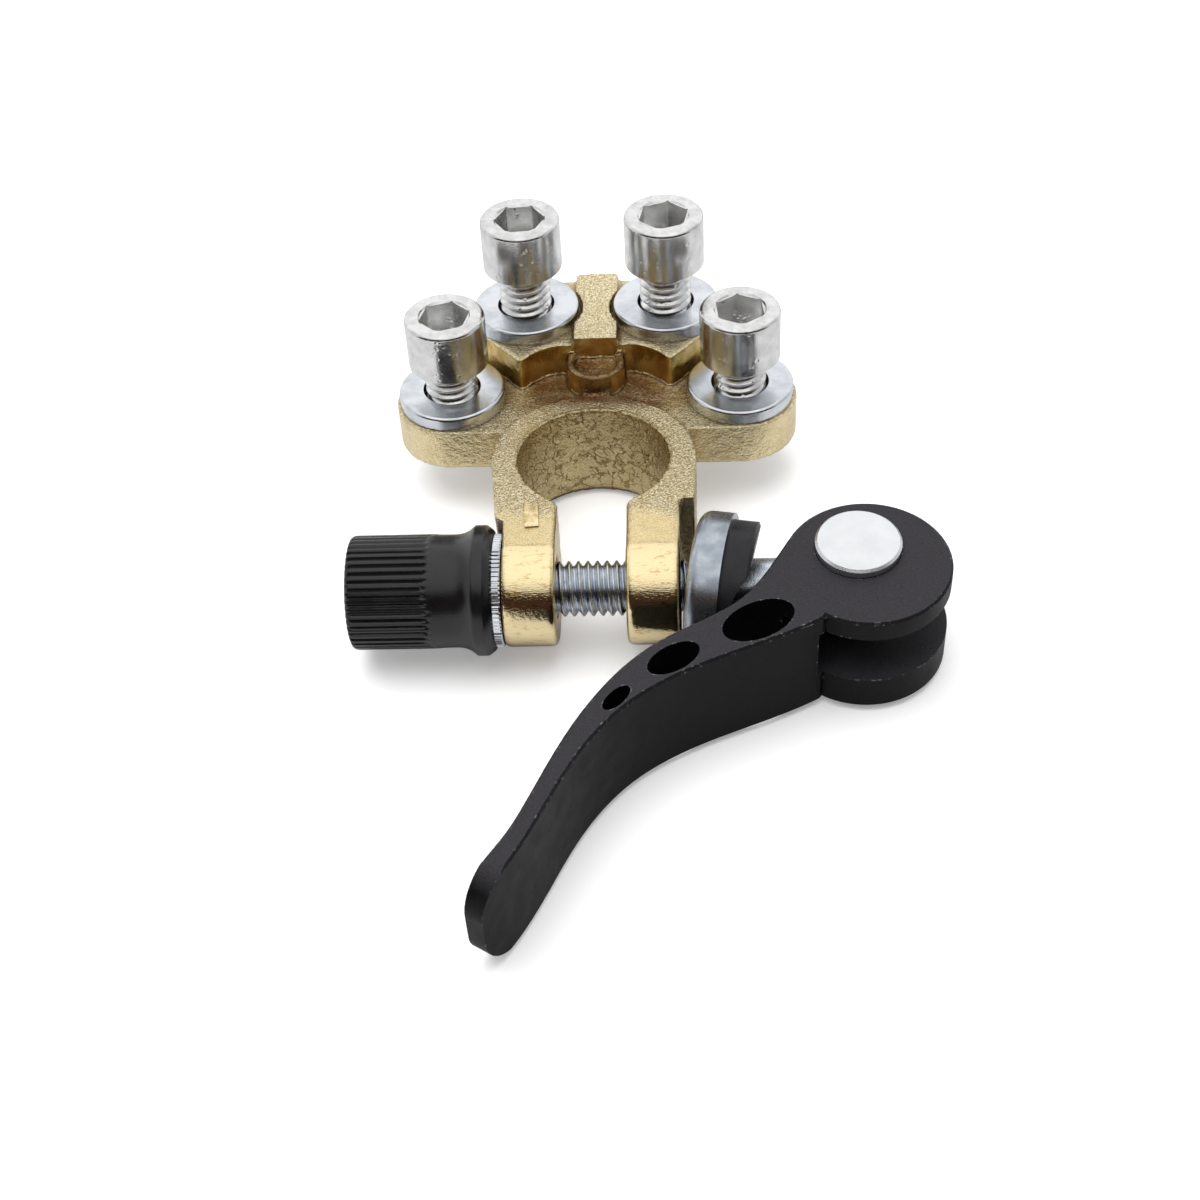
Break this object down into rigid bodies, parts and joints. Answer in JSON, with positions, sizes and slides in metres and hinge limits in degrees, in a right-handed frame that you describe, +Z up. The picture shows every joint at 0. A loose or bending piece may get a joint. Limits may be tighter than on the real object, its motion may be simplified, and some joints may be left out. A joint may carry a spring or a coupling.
{
  "type": "battery terminal clamp",
  "caption": "Quick release battery terminal clamp: cast brass post ring with a plate of cable screws, drawn shut by a cross bolt with a fluted knob and a cam lever.",
  "frame": {"origin": "on the axis of the post bore, at the lower end of its straight wall, 0.9 mm above the underside of the ring", "axes": "+Z up along the post bore, away from the battery; +X along the cross bolt from the knob to the lever; +Y from the jaws to the cable screws"},
  "size_m": [0.0623, 0.0855, 0.0327],
  "materials": {
    "cast_brass": "rough sand-cast, polished on the jaw noses",
    "zinc_thread": "zinc plated thread",
    "zinc_washer": "satin zinc plate",
    "zinc_cup": "satin zinc plate",
    "zinc_pin": "turned and zinc plated",
    "bright_screw": "bright nickel-like plate",
    "knob_black": "semi-gloss black",
    "insert_brass": "turned",
    "saddle_black": "black, faint turning lines",
    "lever_black": "satin black anodised with light edge wear"
  },
  "bodies": {
    "clamp": {"terminal_body": "cast_brass", "washer_front_left": "zinc_washer", "washer_front_right": "zinc_washer", "washer_rear_left": "zinc_washer", "washer_rear_right": "zinc_washer"},
    "knob": {"knob": "knob_black", "knob_insert": "insert_brass", "nut_washer": "zinc_washer"},
    "bolt": {"clamp_bolt": "zinc_thread"},
    "pin": {"barrel_pin": "zinc_pin"},
    "lever": {"cam_lever": "lever_black"},
    "cup": {"thrust_cup": "zinc_cup", "saddle": "saddle_black"},
    "screw_front_left": {"screw_front_left": "bright_screw"},
    "screw_front_right": {"screw_front_right": "bright_screw"},
    "screw_rear_left": {"screw_rear_left": "bright_screw"},
    "screw_rear_right": {"screw_rear_right": "bright_screw"}
  },
  "joints": [
    {"name": "front_left_screw", "type": "slide", "parent": "clamp", "child": "screw_front_left", "axis": [0, 0, 1], "range_m": [-0.0036, 0.005]},
    {"name": "front_right_screw", "type": "slide", "parent": "clamp", "child": "screw_front_right", "axis": [0, 0, 1], "range_m": [-0.0036, 0.005]},
    {"name": "rear_left_screw", "type": "slide", "parent": "clamp", "child": "screw_rear_left", "axis": [0, 0, 1], "range_m": [-0.0052, 0.0034]},
    {"name": "rear_right_screw", "type": "slide", "parent": "clamp", "child": "screw_rear_right", "axis": [0, 0, 1], "range_m": [-0.0052, 0.0034]},
    {"name": "knob_turn", "type": "hinge", "parent": "clamp", "child": "knob", "pos_m": [0, -0.0146, 0.0051], "axis": [-1, 0, 0], "range_deg": [-1, 721]},
    {"name": "bolt_draw", "type": "slide", "parent": "clamp", "child": "bolt", "axis": [1, 0, 0], "range_m": [0, 0.002]},
    {"name": "pin_swing", "type": "hinge", "parent": "bolt", "child": "pin", "pos_m": [0.02747, -0.0146, 0.0051], "axis": [1, 0, 0], "range_deg": [-40, 60]},
    {"name": "cup_turn", "type": "hinge", "parent": "clamp", "child": "cup", "pos_m": [0, -0.0146, 0.0051], "axis": [1, 0, 0], "range_deg": [-41, 61]},
    {"name": "lever_throw", "type": "hinge", "parent": "pin", "child": "lever", "pos_m": [0.02747, -0.0146, 0.0051], "axis": [0, -0.0785, 0.9969], "range_deg": [0, 150]}
  ],
  "couplings": [
    {"joint": "knob_turn", "follows": "bolt_draw", "rad_per_m": 6283.2},
    {"joint": "cup_turn", "follows": "pin_swing", "ratio": 1}
  ]
}
